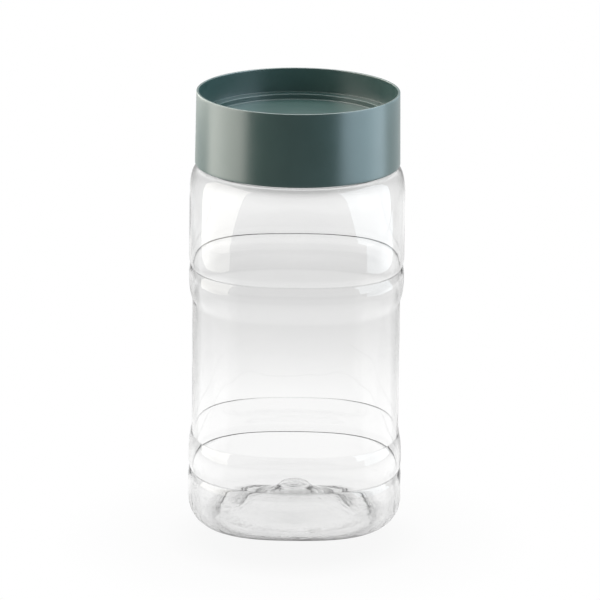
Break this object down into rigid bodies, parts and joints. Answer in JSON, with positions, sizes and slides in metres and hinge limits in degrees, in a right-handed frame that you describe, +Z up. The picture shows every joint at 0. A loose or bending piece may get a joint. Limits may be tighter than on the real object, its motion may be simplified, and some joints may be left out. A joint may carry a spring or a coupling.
{
  "type": "wide-mouth storage jar with screw cap",
  "caption": "Clear rounded-square plastic jar with a label panel, grooved sides and an opaque screw cap whose raised rim lets jars stack.",
  "frame": {"origin": "centre of the plane the jar stands on", "axes": "+Z up along the jar's axis; a flat side of the body faces -Y, the side seen in the picture"},
  "size_m": [0.0976, 0.0976, 0.2],
  "materials": {
    "clear_plastic": "clear, glossy",
    "seal": "matte, off-white",
    "cap_plastic": "satin, grey-green"
  },
  "bodies": {
    "jar": {"jar_body": "clear_plastic"},
    "seal": {"sealing_ring": "seal"},
    "cap": {"screw_cap": "cap_plastic"}
  },
  "joints": [
    {"name": "cap_rise", "type": "slide", "parent": "jar", "child": "seal", "axis": [0, 0, 1], "range_m": [0, 0.02415]},
    {"name": "cap_turn", "type": "hinge", "parent": "seal", "child": "cap", "pos_m": [0, 0, 0.177], "axis": [0, 0, 1], "range_deg": [0, 1035]}
  ],
  "couplings": [
    {"joint": "cap_rise", "follows": "cap_turn", "m_per_rad": 0.0013369}
  ]
}
